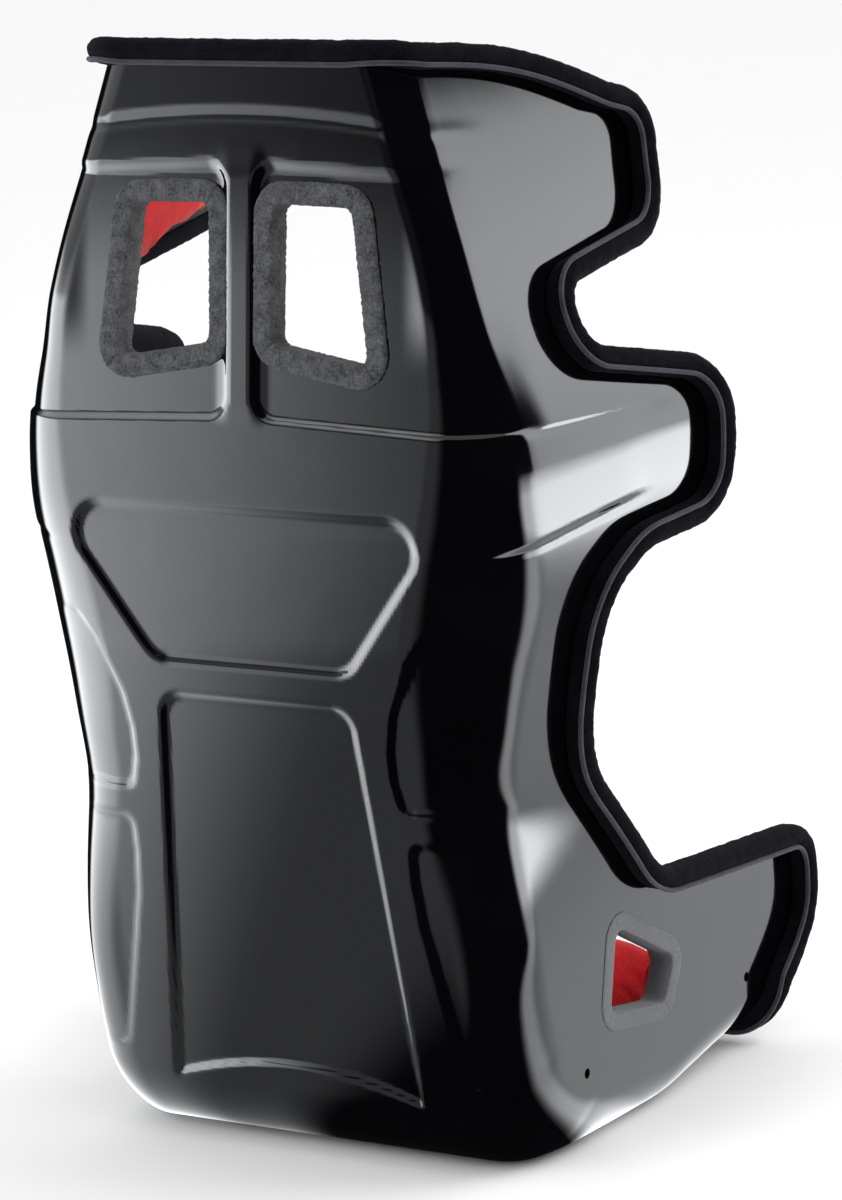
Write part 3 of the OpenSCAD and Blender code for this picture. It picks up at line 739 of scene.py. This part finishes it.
for name in ("hook_strips_back", "hook_strips_seat", "hook_strips_leg"):
    dress(name, HOOKS)
for name in ("mount_plate_left", "mount_plate_right"):
    dress(name, PLATE)
dress("mount_inserts", INSERT)
dress("crotch_slot_trim", SLOT_RUBBER)


# ---------------------------------------------------------------- pads and cushions
def simulate(obj, pressure, cap, frames=20):
    """Swells a closed cover with air, as the foam inside does, and keeps the result."""
    scene = bpy.context.scene
    n = len(obj.data.vertices)
    start = np.empty(n * 3)
    obj.data.vertices.foreach_get("co", start)
    mod = obj.modifiers.new("cloth", "CLOTH")
    s = mod.settings
    s.quality = 4
    s.mass = 0.3
    s.use_pressure = True
    s.uniform_pressure_force = pressure
    s.tension_stiffness = s.compression_stiffness = 12
    s.shear_stiffness = 6
    s.bending_stiffness = 0.6
    s.effector_weights.gravity = 0
    mod.collision_settings.use_collision = False
    mod.collision_settings.use_self_collision = False
    mod.point_cache.frame_start, mod.point_cache.frame_end = 1, frames
    for i in range(1, frames + 1):
        scene.frame_set(i)
    dg = bpy.context.evaluated_depsgraph_get()
    moved = np.empty(n * 3)
    obj.evaluated_get(dg).data.vertices.foreach_get("co", moved)
    obj.modifiers.clear()
    scene.frame_set(1)
    shift = (moved - start).reshape(-1, 3)
    size = np.linalg.norm(shift, axis=1, keepdims=True)
    shift *= cap * np.tanh(size / cap) / np.maximum(size, 1e-9)
    obj.data.vertices.foreach_set("co", (start.reshape(-1, 3) + shift).ravel())
    obj.data.update()


def pad(name, node, material, voxel=0.005, shrink=0.0025, pressure=4, cap=0.007, body="seat",
        details=None):
    """Padded piece in the room of a CAD solid."""
    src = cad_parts[node]
    obj = src.copy()
    obj.data = src.data.copy()
    obj.name = obj.data.name = name
    obj.parent = None
    obj.matrix_world = Matrix.Identity(4)
    for key in list(obj.keys()):
        if key.startswith("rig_"):
            del obj[key]
    bpy.context.collection.objects.link(obj)
    mod = obj.modifiers.new("remesh", "REMESH")
    mod.mode = "VOXEL"
    mod.voxel_size = voxel
    apply_modifiers(obj)
    shift_along_normals(obj, lambda p, n: np.full(len(p), -shrink))
    simulate(obj, pressure, cap)
    mod = obj.modifiers.new("round", "SUBSURF")
    mod.levels = mod.render_levels = 1
    apply_modifiers(obj)
    if details:
        shift_along_normals(obj, details)
    finish_mesh(obj, material, 180)
    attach(obj, body)
    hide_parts(node)
    return obj


def shift_along_normals(obj, amount):
    mesh = obj.data
    n = len(mesh.vertices)
    co, no = np.empty(n * 3), np.empty(n * 3)
    mesh.vertices.foreach_get("co", co)
    mesh.vertices.foreach_get("normal", no)
    co, no = co.reshape(-1, 3), no.reshape(-1, 3)
    co = co + no * amount(co, no)[:, None]
    mesh.vertices.foreach_set("co", co.ravel())
    mesh.update()


def mirror_pad(obj, name, node):
    copy = mirrored(obj, name, replaces=[node])
    return copy


def channels(axis, pitch, depth=0.0022, width=0.0035, offset=0.0, edge=None):
    """Sewn channels across a cover, every pitch along an axis, and a seam at each side of x = edge."""
    def amount(p, n):
        phase = (p[:, axis] - offset + pitch / 2) % pitch - pitch / 2
        groove = np.exp(-(phase / width) ** 2)
        if edge:
            inside = ramp(edge + 0.002, edge - 0.002, np.abs(p[:, 0]))
            groove = np.maximum(groove * inside, np.exp(-((np.abs(p[:, 0]) - edge) / width) ** 2))
        return -depth * groove
    return amount


for kind, seam_pitch in (("head_wing", 0.045), ("shoulder", 0.045), ("waist", 0.06), ("thigh", 0.06)):
    made = pad(f"{kind}_bolster_left", f"{kind}_pad_left", RED,
               details=channels(2, seam_pitch, 0.0014, 0.003))
    mirror_pad(made, f"{kind}_bolster_right", f"{kind}_pad_right")
pad("head_rest", "head_pad", BLACK_CLOTH, details=channels(2, 0.05, 0.0014, 0.003))
pad("back_cushion_cover", "back_cushion", BLACK_CLOTH, voxel=0.006, body="back_cushion_body",
    cap=0.009, details=channels(2, 0.062, edge=0.1))
pad("seat_cushion_cover", "seat_cushion", BLACK_CLOTH, voxel=0.006, body="seat_cushion_body",
    cap=0.009, details=channels(1, 0.045, edge=0.1))
pad("leg_cushion_cover", "leg_cushion", RED, voxel=0.006, body="leg_cushion_body", cap=0.009,
    details=channels(1, 0.045, edge=0.1))


# ---------------------------------------------------------------- floor, studio and camera
def stage_mesh(name, points, faces, material, glow=None):
    mesh = bpy.data.meshes.new(name)
    mesh.from_pydata([tuple(p) for p in points], [], faces)
    if glow is not None:
        layer = mesh.attributes.new("glow", "FLOAT", "POINT")
        layer.data.foreach_set("value", np.asarray(glow, float))
    mesh.shade_smooth()
    mesh.materials.append(material)
    obj = bpy.data.objects.new(name, mesh)
    bpy.context.collection.objects.link(obj)
    return obj


def floor_material():
    n = Nodes("floor_paint")
    base = n.ramp(n.noise(3, 3), [(0.3, grey(0.925)), (0.7, grey(0.93))])
    return n.set(Base_Color=base, Roughness=0.9, Specular_IOR_Level=0.1)


def glow_material():
    mat = bpy.data.materials.new("studio_glow")
    mat.use_nodes = True
    tree = mat.node_tree
    tree.nodes.clear()
    attr = tree.nodes.new("ShaderNodeAttribute")
    attr.attribute_name = "glow"
    emit = tree.nodes.new("ShaderNodeEmission")
    emit.inputs["Color"].default_value = (0.95, 0.975, 1.0, 1)
    out = tree.nodes.new("ShaderNodeOutputMaterial")
    tree.links.new(attr.outputs["Fac"], emit.inputs["Strength"])
    tree.links.new(emit.outputs[0], out.inputs["Surface"])
    mat.cycles.emission_sampling = "NONE"
    return mat


def only_reflected(obj):
    obj.visible_camera = False
    obj.visible_diffuse = False
    obj.visible_shadow = False
    obj.visible_transmission = False
    obj.visible_volume_scatter = False


# Heading of a direction: 0 is +Y, behind the seat, 90 is -X, 180 is -Y.
def studio_glow(heading, reach, height):
    """Brightness that the gloss shell reflects. reach is the distance on the floor, height on the wall."""
    h = (heading + 180) % 360 - 180
    top_fade = 1 - 0.85 * ramp(0.88, 1.1, height)
    rear = 8.5 * ramp(-24, -46, h) * ramp(-94, -84, h) * (0.3 + 0.7 * ramp(0.3, 2.0, reach)) * top_fade
    fill = 0.55 * ramp(2, -14, h) * ramp(-94, -84, h) * top_fade
    above = 2.5 * ramp(-4, -20, h) * ramp(-110, -90, h) * ramp(1.4, 2.6, height)
    on_wall = ramp(0.14, 0.26, height)
    near = 36 * (1 - ramp(0.5, 1.3, reach))
    band = (4.0 + 4.0 * ramp(1.5, 2.1, reach)) * ramp(94 - near, 104 - near, h) * (1 - on_wall)
    level = 1.8 + 9.5 * ramp(1.3, 2.1, reach) * (1 - on_wall) + 2.4 * on_wall
    tail = level * ramp(90 - near + 33 * on_wall, 110 - near + 21 * on_wall, h)
    right = (band + (tail - band) * ramp(110 - near, 124 - near, h)) * ramp(0.02, 0.15, reach)
    left = 2.4 * ramp(-140, -175, h)
    return 0.01 + rear + fill + above + right + left


GLOW = glow_material()
headings = np.radians(np.arange(-180, 181, 2))
heights = np.linspace(0.0, 5.0, 51)
WALL_R = 3.2
points = [(-math.sin(t) * WALL_R, math.cos(t) * WALL_R, z) for z in heights for t in headings]
glow = [studio_glow(math.degrees(t), WALL_R, z) for z in heights for t in headings]
cols = len(headings)
faces = [(i * cols + j, i * cols + j + 1, (i + 1) * cols + j + 1, (i + 1) * cols + j)
         for i in range(len(heights) - 1) for j in range(cols - 1)]
wall = stage_mesh("studio_wall", points, faces, GLOW, glow)
only_reflected(wall)
radii = np.linspace(0.0, WALL_R, 60)
points = [(-math.sin(t) * r, math.cos(t) * r, 0.0002) for r in radii for t in headings]
glow = [studio_glow(math.degrees(t), r, 0) for r in radii for t in headings]
faces = [(i * cols + j, i * cols + j + 1, (i + 1) * cols + j + 1, (i + 1) * cols + j)
         for i in range(len(radii) - 1) for j in range(cols - 1)]
card = stage_mesh("studio_floor_card", points, faces, GLOW, glow)
only_reflected(card)

big = 30
floor = stage_mesh("floor", [(-big, -big, 0), (big, -big, 0), (big, big, 0), (-big, big, 0)], [(0, 1, 2, 3)],
                   floor_material())
floor.location.z = -0.0006

world = bpy.data.worlds.new("studio")
world.use_nodes = True
world.node_tree.nodes["Background"].inputs["Color"].default_value = (1, 1, 1, 1)
world.node_tree.nodes["Background"].inputs["Strength"].default_value = 1.0
bpy.context.scene.world = world


def area_light(name, at, aim, size, power):
    data = bpy.data.lights.new(name, "AREA")
    data.shape = "RECTANGLE"
    data.size, data.size_y = size
    data.energy = power
    obj = bpy.data.objects.new(name, data)
    obj.location = at
    obj.rotation_euler = (Vector(at) - Vector(aim)).to_track_quat("Z", "Y").to_euler()
    obj.visible_camera = False
    obj.visible_glossy = False
    bpy.context.collection.objects.link(obj)


CENTRE = (0, 0, 0.45)
area_light("key", (-2.6, -1.6, 3.0), CENTRE, (2.5, 2.5), 70)
area_light("rear_fill", (1.8, 3.2, 2.4), CENTRE, (2.5, 2.5), 45)

# Camera, from the photograph's point of view.
AZIMUTH, ELEVATION, ROLL = 212.25, 12.90, -3.40
TARGET, DISTANCE, LENS = (1.0944, MIDDLE * MM - 2.0, -0.0318), 6.4185, 146.72
a, e, roll = (math.radians(k) for k in (AZIMUTH, ELEVATION, ROLL))
back = Vector((math.sin(a) * math.cos(e), -math.cos(a) * math.cos(e), math.sin(e)))
right = Vector((math.cos(a), math.sin(a), 0))
up = back.cross(right)
right, up = right * math.cos(roll) + up * math.sin(roll), up * math.cos(roll) - right * math.sin(roll)
cam_data = bpy.data.cameras.new("camera")
cam_data.lens = LENS
cam_data.sensor_width = 36
camera = bpy.data.objects.new("camera", cam_data)
bpy.context.collection.objects.link(camera)
where = Vector(TARGET) + back * DISTANCE
camera.matrix_world = Matrix((
    (right.x, up.x, back.x, where.x), (right.y, up.y, back.y, where.y), (right.z, up.z, back.z, where.z),
    (0, 0, 0, 1)))
bpy.context.scene.camera = camera
bpy.context.scene.view_settings.view_transform = "Standard"
